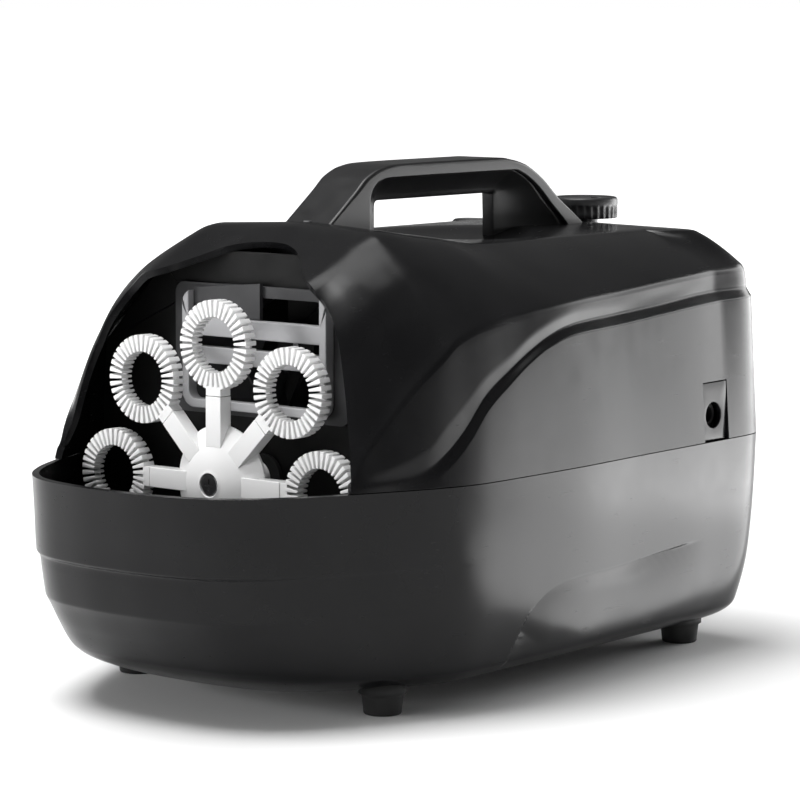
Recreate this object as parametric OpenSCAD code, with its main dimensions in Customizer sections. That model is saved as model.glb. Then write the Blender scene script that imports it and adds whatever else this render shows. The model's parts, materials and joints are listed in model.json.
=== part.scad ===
// Bubble machine: an eight-wand wheel turns through a tank of bubble solution
// in front of a small fan. The front faces -Y, +Z is up, and the origin is on
// the resting surface, just in front of the middle of the casing.

/* [Casing] */
// Length of the casing from nose to rear
body_l = 260; // [260:1:266]
// Width of the casing at its widest
body_w = 163; // [160:1:168]
// Height of the seam between the lower and the upper shell
seam_z = 74.2; // [73:0.1:76]
// Height of the four feet
foot_h = 8; // [7.5:0.1:8.5]
// Wall thickness of the moulded shells
wall = 2.5; // [2:0.1:3]

/* [Wand wheel] */
// Height of the wheel's axis
axle_z = 70.7; // [70:0.1:72]
// Place of the wheel's middle plane along Y
wheel_y = -76.5; // [-78:0.1:-75]
// Distance from the axle to the middle of each wand ring
wand_circle = 45; // [43:0.1:45]
// Outer radius of one wand ring
ring_r = 14.5; // [13:0.1:14.5]
// Inner radius of one wand ring
ring_bore = 9; // [8:0.1:10]
// Number of fins round one wand ring
fins = 36; // [24:1:44]

/* [Handle] */
// Width of the carrying handle
handle_w = 20.4; // [16:0.1:24]
// Height of the top of the handle above the resting surface
handle_top = 171; // [168:0.5:176]

/* [Drive] */
// Module of the gears
gear_m = 0.6; // [0.6]
// Radius of the fan rotor
fan_r = 21; // [16:0.5:21]
// Radius of the round opening for the power lead
port_r = 4.3; // [3:0.1:5]
// Radius of the speed knob
knob_r = 12; // [9:0.5:12]

/* [Hidden] */
$fn = 48;
eps = 0.01;
half_w = body_w / 2;
// Nose and rear end of the casing
nose_y = 1.6 - body_l / 2;
tail_y = 1.6 + body_l / 2;
wands = 8;
// Widest station of the plan, about which the lower shell tapers
waist_y = -34;
// Bottom of the casing
base_z = foot_h + 0.3;

black = [0.03, 0.03, 0.03];
dark_grey = [0.16, 0.16, 0.17];
light_grey = [0.68, 0.68, 0.68];
white = [0.93, 0.93, 0.92];
steel = [0.7, 0.7, 0.72];

// ---- lines of the casing, as value against Y --------------------------------
// Half width of the seam outline
plan = [[nose_y, 9], [-128, 14], [-126.6, 21], [-124.6, 30], [-121, 39.5], [-115, 48.3],
    [-108, 54.5], [-99.6, 60], [-87, 65.5], [-71.5, 72], [-55, 78.5], [-45, 80.6], [-34, half_w],
    [0, half_w], [40, 79.4], [83, 77.2], [104, 75.8], [112, 74.9], [118, 73.2], [122.5, 70.4],
    [126.5, 65], [129, 57], [130.6, 46], [131.2, 28], [tail_y, 14]];
// Height of the long ledge on the side wall, and how far the wall steps in above it
ledge_z = [[-60, 78], [-48, 87], [-38, 97], [-27, 104.3], [-17, 110], [-5, 114.7],
    [8, 117.4], [36, 118.6], [114, 122.3], [tail_y, 112]];
ledge_in = [[-60, 0], [-46, 1.2], [-38, 2.2], [116, 2.2], [126, 1], [tail_y, 0]];
// Height of the edge between the side wall and the cheek
edge_z = [[-90, 81], [-83, 83], [-74, 94], [-68, 101], [-62, 107], [-53, 114.5], [-47, 119],
    [-39, 122], [-28, 124], [-12, 126], [5, 127.6], [40, 129.3], [90, 132], [114, 132.7],
    [124, 131], [tail_y, 116]];
// Crease between the cheek and the brow of the hood
crease_x = [[-90, 38], [-73, 42], [-60, 45], [-45, 45], [-30, 43], [0, 42], [110, 41],
    [124, 34], [tail_y, 7]];
crease_z = [[-90, 123], [-73, 132.5], [-60, 139], [-45, 144.5], [-30, 147.5], [0, 146],
    [6, 144.8], [110, 144.5], [124, 142], [tail_y, 121]];
// Edge of the flat roof
roof_x = [[-90, 34], [-73, 36], [-45, 36], [-20, 38], [6, 40], [110, 39], [124, 31],
    [tail_y, 6]];
roof_z = [[-90, 129], [-73, 137], [-60, 143.5], [-45, 151.5], [-38, 151.8], [-27, 150],
    [-3, 146.7], [6, 145.2], [110, 145.2], [122, 144.4], [127, 142], [130, 134],
    [tail_y, 123]];
// Rise of the roof's middle over its edges
crown = 1;
// Places along Y of the upper shell's cross sections
stations = [-90, -83, -74, -68, -62, -53, -45, -38, -28, -17, -5, 6, 36, 83, 104, 112, 118,
    122.5, 126.5, 129, 130.6, tail_y];

// ---- general shapes ------------------------------------------------------------
// Closed skin over rings of equally many points, each counterclockwise as seen
// from the side of the first ring
module loft(rings) {
    n = len(rings[0]);
    m = len(rings);
    points = [for (ring = rings) each ring];
    sides = [for (i = [0:m - 2], j = [0:n - 1], k = [0, 1]) let (j2 = (j + 1) % n)
        k == 0 ? [i * n + j, i * n + j2, (i + 1) * n + j2]
               : [i * n + j, (i + 1) * n + j2, (i + 1) * n + j]];
    caps = [[for (j = [n - 1:-1:0]) j], [for (j = [0:n - 1]) (m - 1) * n + j]];
    polyhedron(points, concat(sides, caps));
}

// Rod along Y
module rod_y(r, y0, y1) {
    translate([0, y0, 0]) rotate([-90, 0, 0]) cylinder(r = r, h = y1 - y0);
}

// Plate that is drawn in X and Z, and runs from y0 to y1
module plate_y(y0, y1) {
    translate([0, y1, 0]) rotate([90, 0, 0]) linear_extrude(y1 - y0) children();
}

// Plate that is drawn in Y and Z, and runs from -w/2 to w/2
module plate_x(w) {
    translate([-w / 2, 0, 0]) rotate([90, 0, 90]) linear_extrude(w) children();
}

module rounded(size, r) {
    x = size[0] / 2 - r;
    y = size[1] / 2 - r;
    union() {
        square([size[0], 2 * y], center = true);
        square([2 * x, size[1]], center = true);
        for (sx = [-1, 1], sy = [-1, 1]) translate([sx * x, sy * y]) circle(r);
    }
}

// Machine screw pointing up, with the top of its head at z = 0
module screw(d, head_d, head_h, length) {
    difference() {
        union() {
            cylinder(d = head_d, h = head_h);
            translate([0, 0, head_h - eps]) cylinder(d = d, h = length + eps);
        }
        for (a = [0, 90]) rotate(a)
            translate([-head_d * 0.3, -0.35, -eps]) cube([head_d * 0.6, 0.7, head_h * 0.5]);
    }
}

// ---- casing --------------------------------------------------------------------
// Ring of the upper shell at station y, drawn in by t
function upper_half(y, t, low) =
    let (w = lookup(y, plan) - t, ez = lookup(y, edge_z), step = lookup(y, ledge_in),
        lz = min(lookup(y, ledge_z), ez - 4), lx = w - 0.05 * (lz - seam_z),
        ex = w - 0.06 * (ez - seam_z) - step)
    [[w, low], [lx, lz], [lx - step, lz + 1.45 * step], [ex, ez - t],
     [min(lookup(y, crease_x), ex - 2), lookup(y, crease_z) - t],
     [min(lookup(y, roof_x), ex - 4), lookup(y, roof_z) - t]];

function upper_ring(y, t, low) =
    let (h = upper_half(y, t, low), top = [0, lookup(y, roof_z) + crown - t],
        yy = y > 100 ? y - t * (y - 100) / (tail_y - 100) : y)
    [for (p = concat(h, [top], [for (i = [len(h) - 1:-1:0]) [-h[i][0], h[i][1]]]))
        [p[0], yy, p[1]]];

module upper_outer() {
    loft([for (y = stations) upper_ring(y, 0, seam_z)]);
}

module upper_inner() {
    loft([for (y = concat([-96], stations)) upper_ring(y, wall, seam_z - 2)]);
}

// How far the lower shell draws in from the seam at the nose, the sides and the rear,
// against height
nose_line = [[base_z, 38], [9, 35], [10, 31.5], [11.2, 28.3], [12.6, 24.6], [14.2, 20.8],
    [15.8, 18.2], [17.7, 16], [25.2, 11], [32.2, 6.6], [33.8, 5.5], [44.5, 3.4], [48.2, 2.7],
    [49.6, 1.4], [62, 0.9], [seam_z, 0]];
side_line = [[base_z, 17], [9, 14], [10, 11.3], [11.2, 9.1], [12.6, 7.4], [14.2, 6.2],
    [15.8, 5.5], [33.8, 2], [seam_z, 0]];
tail_line = [[base_z, 14], [9, 11.5], [10, 9.4], [11.2, 7.8], [12.6, 6.6], [14.2, 5.7],
    [15.8, 5.1], [33.8, 2], [seam_z, 0]];
function side_at(z) = half_w - lookup(z, side_line);
function nose_at(z) = nose_y + lookup(z, nose_line);
function tail_at(z) = tail_y - lookup(z, tail_line);

// Outline of the lower shell at height z, drawn in by t
function lower_ring(z, t) =
    let (kx = (side_at(z) - t) / half_w,
        kf = (nose_at(z) + t - waist_y) / (nose_y - waist_y),
        kr = (tail_at(z) - t - waist_y) / (tail_y - waist_y),
        side = [for (p = plan) [p[1] * kx,
            waist_y + (p[0] - waist_y) * (p[0] < waist_y ? kf : kr)]])
    concat([for (p = side) [p[0], p[1], z]],
        [for (i = [len(side) - 1:-1:0]) [-side[i][0], side[i][1], z]]);

// Half width of the lower shell's inside at station y and height z
function lower_half(y, z, t) =
    let (k = (y < waist_y ? (nose_at(z) - waist_y) / (nose_y - waist_y)
                          : (tail_at(z) - waist_y) / (tail_y - waist_y)))
    (side_at(z) / half_w) * lookup(waist_y + (y - waist_y) / k, plan) - t;

floor_z = base_z + 2;
// Heights of the lower shell's levels, from the seam down
levels = [for (i = [len(nose_line) - 1:-1:0]) nose_line[i][0]];

module lower_outer() {
    loft([for (z = levels) lower_ring(z, 0)]);
}

module lower_inner() {
    loft([for (z = concat([seam_z + 1], [for (l = levels) if (l > floor_z && l < seam_z) l],
        [floor_z])) lower_ring(z, wall)]);
}

// Posts that hold the two shells together
posts = [[50, -38], [50, 28], [38, 116]];
// Top of the screw heads inside the posts
head_z = 62;
post_r = 4.5;
case_screw_r = 1.5;

module at_posts() {
    for (side = [-1, 1], p = posts) translate([side * p[0], p[1], 0]) children();
}

// Bay for the batteries, and the door that closes it from below
bay_y = [0, 108];
bay_w = 84;
bay_top = 44;
door_w = 80;
door_gap = 0.4;
door_t = 1.8;
// Tab at the rear of the door, and the screw through it
tab_size = [14, 8, 1.2];
tab_y = bay_y[1] - 2.1;
tab_fix_y = 110.6;
board_pins = [[58, 62], [58, 84]];

module lower_shell() color(black) difference() {
    union() {
        difference() {
            lower_outer();
            lower_inner();
        }
        intersection() {
            lower_outer();
            union() {
                at_posts() translate([0, 0, base_z]) cylinder(r = post_r, h = seam_z - base_z);
                for (p = board_pins) translate([p[0], p[1], base_z])
                    cylinder(r = 3, h = board_z - base_z);
                translate([0, tab_fix_y, base_z]) cylinder(r = 2.4, h = 5.5);
            }
        }
        // Pads over the feet
        for (x = [-foot_x, foot_x], y = foot_y) translate([x, y, base_z])
            cylinder(r = foot_r[1] + 0.8, h = 1.9);
    }
    at_posts() {
        translate([0, 0, -1]) cylinder(r = 3.4, h = head_z + 1);
        cylinder(r = case_screw_r + 0.2, h = seam_z + 1);
    }
    for (p = board_pins) translate([p[0], p[1], board_z - 8]) cylinder(r = 1.2, h = 9);
    translate([-door_w / 2 - door_gap, bay_y[0] + 2 - door_gap, 0])
        cube([door_w + 2 * door_gap, bay_y[1] - bay_y[0] - 4 + 2 * door_gap, base_z + 5]);
    translate([-tab_size[0] / 2 - door_gap, tab_y + 0.1, 0])
        cube([tab_size[0] + 2 * door_gap, tab_size[1] + 0.3, base_z + tab_size[2] + 0.15]);
    translate([0, tab_fix_y, 0]) cylinder(r = 1.3, h = base_z + 4.5);
}

// Front outline of the mouth in Y and Z, and the notch in its hood in X and Y
mouth_side = [[-85, seam_z], [-80.4, 99.5], [-77.5, 113.3], [-76, 120.2], [-73.6, 129],
    [-73, 137], [-73, 200]];
notch = [[37.5, -74.5], [27, -66.5], [20.5, -60], [12, -55], [0, -49.5]];
// Air slots in the rear
slot_z = [for (i = [0:6]) 86 + 5 * i];
slot_size = [50, 2.2];
// Opening for the power lead, and the plate round it
port_y = 93;
port_z = 83.1;
plate_x0 = 72.6;
plate_size = [2.6, 15, 20.2];
plate_gap = 0.2;
knob_y = 118.5;
neck_r = 4.8;
// Radius of the hollow for the fingers, and the height of its lowest point
scoop_r = 120;
scoop_y = 38;
scoop_z = 141;

module upper_shell() color(black) difference() {
    union() {
        difference() {
            upper_outer();
            upper_inner();
        }
        intersection() {
            upper_outer();
            at_posts() translate([0, 0, seam_z]) cylinder(r = 4, h = 80);
        }
        // Pad under the finger scoop
        translate([0, scoop_y, scoop_z - 2.8]) cylinder(r = 34, h = 7);
    }
    plate_x(400) polygon(concat([[-200, 200], [-200, 0], [-85, 0]], mouth_side));
    translate([0, 0, seam_z]) linear_extrude(100)
        polygon(concat([[-37.5, -120], [37.5, -120]], notch,
            [for (i = [len(notch) - 2:-1:0]) [-notch[i][0], notch[i][1]]]));
    // Finger scoop in the roof
    translate([0, scoop_y, scoop_z + scoop_r]) sphere(scoop_r);
    at_posts() cylinder(r = case_screw_r + 0.02, h = head_z + 22);
    translate([0, knob_y, 130]) cylinder(r = neck_r + 0.1, h = 30);
    translate([plate_x0 - 3, port_y - plate_size[1] / 2 - plate_gap, seam_z - 1])
        cube([12, plate_size[1] + 2 * plate_gap, plate_size[2] + 1.4]);
    for (z = slot_z) translate([-slot_size[0] / 2, 120, z]) cube([slot_size[0], 30, slot_size[1]]);
    for (p = handle_fix) translate([0, p[0], 120]) cylinder(r = 1.7, h = 60);
}

// ---- handle --------------------------------------------------------------------
web_t = 7;
// Outer and inner outline of the handle's band in Y and Z
handle_out = [[-39, 140], [-39, 148.5], [-32.4, 152.9], [-20, 162.2], [-13.5, 167.2],
    [-6.5, handle_top - 1.5], [2, handle_top - 0.2], [24, handle_top], [56, handle_top],
    [64, handle_top - 0.9], [71, handle_top - 2.6], [80.6, 163.4], [90.5, 155.8],
    [106, 144.8], [106, 140]];
handle_in = [[-12.5, 135], [-12.5, 160.5], [-9.5, 163.8], [-5.5, 165.6], [-1.8, 166.2],
    [64.6, 166.2], [68, 165.6], [77, 160.6], [86, 153.1], [95.5, 145], [95.5, 135]];
// Opening in the handle's web
web_window = [[-2, 130], [-2, 157], [-0.5, 158.5], [62, 158.5], [62, 130]];
// Place along Y of each handle screw, and the height of the roof's underside there
handle_fix = [[-33, 146.9], [-19, 145], [100, 142.9]];

module handle() color(black) difference() {
    union() {
        plate_x(handle_w) difference() {
            polygon(handle_out);
            polygon(handle_in);
        }
        plate_x(web_t) difference() {
            polygon(handle_out);
            polygon(web_window);
        }
    }
    upper_outer();
    for (p = handle_fix) translate([0, p[0], 120]) cylinder(r = 1.3, h = p[1] - 120 + 7);
}

module handle_screws() color(steel) for (p = handle_fix)
    translate([0, p[0], p[1] - 2.6]) screw(2.5, 6, 2.4, 6.5);

// ---- front compartment ---------------------------------------------------------
// Faces of the bulkhead between the tank and the dry rear, and the gap round it
bulk_y = [-54, -51.5];
bulk_gap = 0.5;
// Height of the middle of the air outlet and of the fan
duct_z = 111.5;
air_z = 112.5;
duct_size = [63, 39];
seal_r = 6;

module bulkhead() color(black) difference() {
    bulk_mid = (bulk_y[0] + bulk_y[1]) / 2;
    low = [for (z = [floor_z + 0.1, 11.2, 12.6, 14.2, 15.8, 33.8, 48.2, 62, seam_z])
        [min(lower_half(bulk_y[0], z, wall), lower_half(bulk_y[1], z, wall)) - bulk_gap, z]];
    up = [for (p = upper_half(bulk_y[0], wall + bulk_gap, seam_z)) if (p[1] > seam_z) p];
    side = concat(low, up);
    plate_y(bulk_y[0], bulk_y[1]) polygon(concat(side,
        [for (i = [len(side) - 1:-1:0]) [-side[i][0], side[i][1]]]));
    plate_y(-60, -50) translate([0, duct_z]) square(duct_size + [0.4, 3], center = true);
    translate([0, 0, axle_z]) rod_y(seal_r + 0.1, -60, -50);
    for (p = duct_fix) translate([p[0], 0, p[1]]) rod_y(1.3, -60, -50);
}

module shaft_seal() color(dark_grey) translate([0, 0, axle_z]) difference() {
    union() {
        rod_y(seal_r, bulk_y[0], bulk_y[1]);
        rod_y(seal_r + 1.5, bulk_y[0] - 1.5, bulk_y[0]);
    }
    rod_y(shaft_r + 0.06, -70, -40);
}

// Places in X and Z of the screws that hold the duct
duct_fix = [[-35, 94], [35, 94], [-35, 128], [35, 128]];

module fan_duct() color(dark_grey) difference() {
    union() {
        // Flange against the bulkhead, and the funnel behind it
        plate_y(bulk_y[0] - 2, bulk_y[0]) translate([0, duct_z])
            rounded([duct_size[0] + 13, duct_size[1] + 4], 4);
        hull() {
            plate_y(bulk_y[0] - 1, bulk_y[0]) translate([0, duct_z])
                rounded(duct_size - [1, 1], 5, $fn = 24);
            translate([0, 0, air_z]) rod_y(drum_r[1], -42.2, -41.2, $fn = 32);
        }
    }
    hull() {
        plate_y(bulk_y[0] - 3, bulk_y[0] - 2.5) translate([0, duct_z])
            rounded(duct_size - [4, 4], 4, $fn = 24);
        translate([0, 0, air_z]) rod_y(drum_r[0], -42, -40, $fn = 32);
    }
    for (p = duct_fix) translate([p[0], 0, p[1]]) rod_y(1.3, bulk_y[0] - 1.5, -50);
}

grille_y = [bulk_y[0] - 6, bulk_y[0] - 2];
grille_bar = 3;
// Foot above the duct's middle, and height, of each vane
vanes = [[4.5, 6], [-4.5, 5.5]];

// Frame that is open at the top, with two level vanes
module outlet_grille() color(light_grey) translate([0, 0, duct_z]) {
    plate_y(grille_y[0], grille_y[1]) difference() {
        rounded(duct_size, 5);
        rounded(duct_size - 2 * [grille_bar, grille_bar], 3);
        translate([0, duct_size[1] / 2]) square([duct_size[0] - 2 * grille_bar, 12], center = true);
    }
    for (v = vanes) translate([-duct_size[0] / 2 + 1, grille_y[0], v[0]])
        cube([duct_size[0] - 2, grille_y[1] - grille_y[0], v[1]]);
}

// Plate over the upper left of the outlet, above the upper vane
module outlet_baffle() color(dark_grey) {
    low = duct_z + vanes[0][0] + vanes[0][1] + 0.2;
    left = -duct_size[0] / 2 + grille_bar + 0.2;
    plate_y(grille_y[1] - 1.6, grille_y[1])
        polygon([[left, low], [1, low], [1, 134], [left, 131.5]]);
}

// ---- fan -----------------------------------------------------------------------
fan_y = [-39, -27];
blades = 7;
fan_shaft_r = 1.15;
fan_hub_r = 8;
// Wall of the housing round the rotor, and the cup that holds the motor
drum_r = [fan_r + 0.8, fan_r + 2.3];
cup_r = 12;
fan_motor_r = 10;
fan_motor_y = [-22.4, 2];
// Distance from the fan's axis to its two motor screws
motor_fix_x = 6;

module fan_rotor() color(black) translate([0, 0, air_z]) difference() {
    union() {
        rod_y(fan_hub_r, fan_y[0], fan_y[1]);
        for (i = [0:blades - 1]) rotate([0, i * 360 / blades, 0])
            translate([0, (fan_y[0] + fan_y[1]) / 2, 0]) rotate([0, 0, 38])
            translate([-6.4, -0.6, 6]) cube([12.8, 1.2, fan_r - 6.5]);
    }
    rod_y(fan_shaft_r, -50, 0);
}

module fan_shaft() color(steel) translate([0, 0, air_z]) rod_y(fan_shaft_r, fan_y[0], -6);

module fan_housing() color(dark_grey) translate([0, 0, air_z]) difference() {
    union() {
        difference() {
            rod_y(drum_r[1], -41.2, -12);
            rod_y(drum_r[0], -42, -11);
        }
        difference() {
            union() {
                rod_y(cup_r, -24, -14);
                for (a = [30, 150, 270]) rotate([0, a, 0])
                    translate([cup_r - 1, -24, -1]) cube([drum_r[1] - cup_r + 0.2, 10, 2]);
            }
            rod_y(fan_motor_r + 0.1, fan_motor_y[0], -11);
            rod_y(3, -25, -11);
        }
    }
    for (x = [-motor_fix_x, motor_fix_x]) translate([x, 0, 0]) rod_y(0.9, -25, -20);
}

module fan_motor() color(steel) translate([0, 0, air_z]) difference() {
    union() {
        rod_y(fan_motor_r, fan_motor_y[0], fan_motor_y[1]);
        rod_y(3, fan_motor_y[0] - 1.6, fan_motor_y[0] + 0.1);
        rod_y(4, fan_motor_y[1], fan_motor_y[1] + 2);
    }
    rod_y(fan_shaft_r + 0.1, -25, -5);
    for (x = [-motor_fix_x, motor_fix_x]) translate([x, 0, 0]) rod_y(0.9, -23, -19);
}

module fan_screws() color(steel) translate([0, 0, air_z]) {
    for (x = [-motor_fix_x, motor_fix_x]) translate([x, -25.6, 0]) rotate([-90, 0, 0])
        screw(1.7, 3, 1.5, 4.5);
    for (p = duct_fix) translate([p[0], bulk_y[1] + 2, p[1] - air_z]) rotate([90, 0, 0])
        screw(2.5, 5, 2, 3.9);
}

// ---- gears ---------------------------------------------------------------------
// Circumferential play between two teeth
backlash = 0.09;
pressure_a = 20;
function inv(a) = tan(a) * 180 / PI - a;

// Half angle of an involute tooth at radius r
function tooth_angle(n, r) = let (rp = gear_m * n / 2, rb = rp * cos(pressure_a))
    90 / n + inv(pressure_a) - (r > rb ? inv(acos(rb / r)) : 0) - backlash / 2 / rp * 180 / PI;

// Flat spur gear with n teeth, one of them on the +X side
module teeth(n, tip = 0.85) {
    rp = gear_m * n / 2;
    root = rp - 1.2 * gear_m;
    steps = [for (i = [0:4]) root + (rp + tip * gear_m - root) * i / 4];
    polygon([for (k = [0:n - 1]) let (a = 360 * k / n) each concat(
        [for (r = steps) r * [cos(a - tooth_angle(n, r)), sin(a - tooth_angle(n, r))]],
        [for (i = [4:-1:0]) let (r = steps[i])
            r * [cos(a + tooth_angle(n, r)), sin(a + tooth_angle(n, r))]])]);
}

// Teeth of the output gear, the two reduction gears and the motor pinion
out_n = 48;
mid_n = [36, 12];
first_n = [40, 12];
motor_n = 10;
// Direction from each gear to the next, from the output gear to the motor
dir_2 = 225;
dir_1 = -40;
dir_m = 10;
function step_to(from, a, n1, n2) = from + gear_m * (n1 + n2) / 2 * [cos(a), sin(a)];
out_at = [0, axle_z];
mid_at = step_to(out_at, dir_2, out_n, mid_n[1]);
first_at = step_to(mid_at, dir_1, mid_n[0], first_n[1]);
motor_at = step_to(first_at, dir_m, first_n[0], motor_n);
// Front and back of each layer of gears
layer_1 = [-47, -43];
layer_2 = [-42.6, -39.6];
layer_3 = [-39.2, -36.2];
shaft_r = 2.5;
pin_r = 1;
pin_bore = 1.06;

module at_gear(p) {
    translate([p[0], 0, p[1]]) children();
}

module gear_layer(layer, n, turn) {
    plate_y(layer[0], layer[1]) rotate(turn) teeth(n);
}

module output_gear() color(white) at_gear(out_at) difference() {
    union() {
        gear_layer(layer_1, out_n, dir_2);
        rod_y(5, layer_1[0], layer_3[1]);
    }
    rod_y(shaft_r + 0.02, -60, -20);
}

module reduction_gear_2() color(white) at_gear(mid_at) difference() {
    union() {
        gear_layer(layer_1, mid_n[1], dir_2 + 180 + 180 / mid_n[1]);
        rod_y(2.6, layer_1[1] - eps, layer_2[0] + eps);
        gear_layer(layer_2, mid_n[0], dir_1);
    }
    rod_y(pin_bore, -60, -20);
}

module reduction_gear_1() color(white) at_gear(first_at) difference() {
    union() {
        gear_layer(layer_2, first_n[1], dir_1 + 180 + 180 / first_n[1]);
        rod_y(2.6, layer_2[1] - eps, layer_3[0] + eps);
        gear_layer(layer_3, first_n[0], dir_m);
    }
    rod_y(pin_bore, -60, -20);
}

motor_y = [-30.4, -6];
motor_r = 10;
motor_flat = 15.2;
motor_boss_r = 3;

module motor_pinion() color(steel) at_gear(motor_at) union() {
    gear_layer(layer_3, motor_n, dir_m + 180 + 180 / motor_n);
    rod_y(pin_r, layer_3[1] - eps, -16);
}

// Room for each gear inside the gearbox, and for the middle between them
gear_room = [[out_at, 16.6], [mid_at, 12.3], [first_at, 13.4]];
middle_at = [(motor_at[0] + mid_at[0]) / 2, 56];
middle_w = 34;
box_wall = 1.6;
cover_t = 2.6;

// Outline of the gearbox in X and Z, grown by t
module box_outline(t) {
    union() {
        for (g = gear_room) translate(g[0]) circle(g[1] + t);
        translate(middle_at) square(middle_w + 2 * t, center = true);
    }
}

box_y = [-50, -33];
box_fix = [[-17, 38.5], [17, 38.5], [-14, 84.5], [14, 84.5]];
ear_r = 3.4;

module gearbox_case() color(light_grey) difference() {
    union() {
        plate_y(box_y[0], box_y[1]) box_outline(box_wall);
        for (p = box_fix) at_gear(p) rod_y(ear_r, box_y[0], box_y[1]);
    }
    plate_y(box_y[0] + 2, box_y[1] + 1) difference() {
        box_outline(0);
        for (p = box_fix) translate(p) circle(ear_r);
    }
    at_gear(out_at) rod_y(shaft_r + 0.05, -60, -40);
    for (p = [mid_at, first_at]) at_gear(p) rod_y(pin_r, -49, -40);
    for (p = box_fix) at_gear(p) rod_y(0.9, box_y[1] - 10, -20);
}

module gearbox_cover() color(light_grey) difference() {
    plate_y(box_y[1], box_y[1] + cover_t) union() {
        box_outline(box_wall);
        for (p = box_fix) translate(p) circle(ear_r);
    }
    at_gear(out_at) rod_y(shaft_r + 0.05, -40, box_y[1] + 1.6);
    for (p = [mid_at, first_at]) at_gear(p) rod_y(pin_r, -40, box_y[1] + 1.6);
    at_gear(motor_at) rod_y(motor_boss_r + 0.1, -40, -20);
    for (p = box_fix) at_gear(p) rod_y(1.3, -40, -20);
}

module gear_pins() color(steel) for (p = [mid_at, first_at])
    at_gear(p) rod_y(pin_r, -49, box_y[1] + 1.6);

module gearbox_screws() color(steel) for (p = box_fix)
    at_gear(p) translate([0, box_y[1] + 4.6, 0]) rotate([90, 0, 0]) screw(1.7, 4, 2, 9);

module wheel_motor() color(steel) at_gear(motor_at) difference() {
    union() {
        intersection() {
            rod_y(motor_r, motor_y[0], motor_y[1]);
            translate([-motor_r - 1, -40, -motor_flat / 2])
                cube([2 * motor_r + 2, 50, motor_flat]);
        }
        rod_y(motor_boss_r, -32.5, motor_y[0] + eps);
        rod_y(3.5, motor_y[1] - eps, motor_y[1] + 2);
    }
    rod_y(pin_bore, -40, -15);
}

module wheel_shaft() color(steel) translate([0, 0, axle_z])
    rod_y(shaft_r, wheel_y - 1, box_y[1] + 1.4);

// ---- wand wheel ----------------------------------------------------------------
ring_w = 5;
stem_w = 6.5;
arm_end = 28.5;
hub_r = 19;
hub_rise = 7;
neck_wheel_r = 6;
// Hollow in the dome for the hub screw's head
screw_well_r = 3.75;
plug_r = 1.4;
wheel_front = wheel_y - ring_w / 2;
wheel_back = wheel_y + ring_w / 2;

module wheel_spider() color(white) translate([0, 0, axle_z]) difference() {
    dome_r = (hub_r * hub_r + hub_rise * hub_rise) / (2 * hub_rise);
    union() {
        intersection() {
            translate([0, wheel_back - 1 - hub_rise + dome_r, 0]) sphere(dome_r);
            rod_y(hub_r, wheel_front - 10, wheel_back - 1);
        }
        rod_y(hub_r, wheel_back - 1 - eps, wheel_back);
        rod_y(neck_wheel_r, wheel_back - eps, -58);
        for (i = [0:wands - 1]) rotate([0, i * 360 / wands, 0])
            translate([12, wheel_front, -stem_w / 2]) cube([arm_end - 12, ring_w, stem_w]);
    }
    rod_y(shaft_r + 0.02, wheel_y - 1, -50);
    rod_y(1.2, wheel_y - 6, wheel_y);
    rod_y(screw_well_r, -90, wheel_y - 3);
    for (i = [0:wands - 1]) rotate([0, i * 360 / wands, 0])
        translate([arm_end - 5, wheel_y, 0]) rotate([0, 90, 0]) cylinder(r = plug_r + 0.05, h = 6);
}

module hub_screw() color(steel) translate([0, wheel_y - 3, axle_z]) rotate([90, 0, 0])
    difference() {
        union() {
            cylinder(r = 3.2, h = 1.6);
            translate([0, 0, -2]) cylinder(r = 1.2, h = 2 + eps);
        }
        for (a = [0, 90]) rotate(a) translate([-2, -0.4, 1]) cube([4, 0.8, 1]);
    }

// Ring of separate radial fins on a thin mid web, with a stem that plugs into its arm
module wand_ring(i) color(white) translate([0, 0, axle_z]) rotate([0, -i * 360 / wands, 0])
    union() {
        translate([wand_circle, 0, 0]) {
            for (k = [0:fins - 1]) rotate([0, (k + 0.5) * 360 / fins, 0])
                translate([0, wheel_back, 0]) rotate([90, 0, 0]) linear_extrude(ring_w)
                polygon([[ring_bore, -0.5], [ring_r, -0.9], [ring_r, 0.9], [ring_bore, 0.5]]);
            plate_y(wheel_y - 0.6, wheel_y + 0.6) difference() {
                circle(ring_r - 1);
                circle(ring_bore + 0.5);
            }
        }
        translate([arm_end, wheel_front, -stem_w / 2])
            cube([wand_circle - ring_r + 1.2 - arm_end, ring_w, stem_w]);
        translate([arm_end - 4.5, wheel_y, 0]) rotate([0, 90, 0]) cylinder(r = plug_r, h = 5);
    }

module wand_ring_1() wand_ring(0);
module wand_ring_2() wand_ring(1);
module wand_ring_3() wand_ring(2);
module wand_ring_4() wand_ring(3);
module wand_ring_5() wand_ring(4);
module wand_ring_6() wand_ring(5);
module wand_ring_7() wand_ring(6);
module wand_ring_8() wand_ring(7);

// ---- batteries and electrics ---------------------------------------------------
board_z = 76.5;
board_t = 1.6;
// Room for one pair of batteries, and the step from one pair to the next
cell_w = (bay_w - 2) / 3;
cell_l = 51;
cell_step = 53;
strip_t = 0.5;

module battery_box() color(black) difference() {
    translate([-bay_w / 2, bay_y[0], floor_z]) cube([bay_w, bay_y[1] - bay_y[0], bay_top - floor_z]);
    for (i = [0:2], j = [0, 1])
        translate([-bay_w / 2 + 2 + i * cell_w, bay_y[0] + 2 + j * cell_step, floor_z - 1])
        cube([cell_w - 2, cell_l, bay_top - floor_z - 1]);
}

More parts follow.
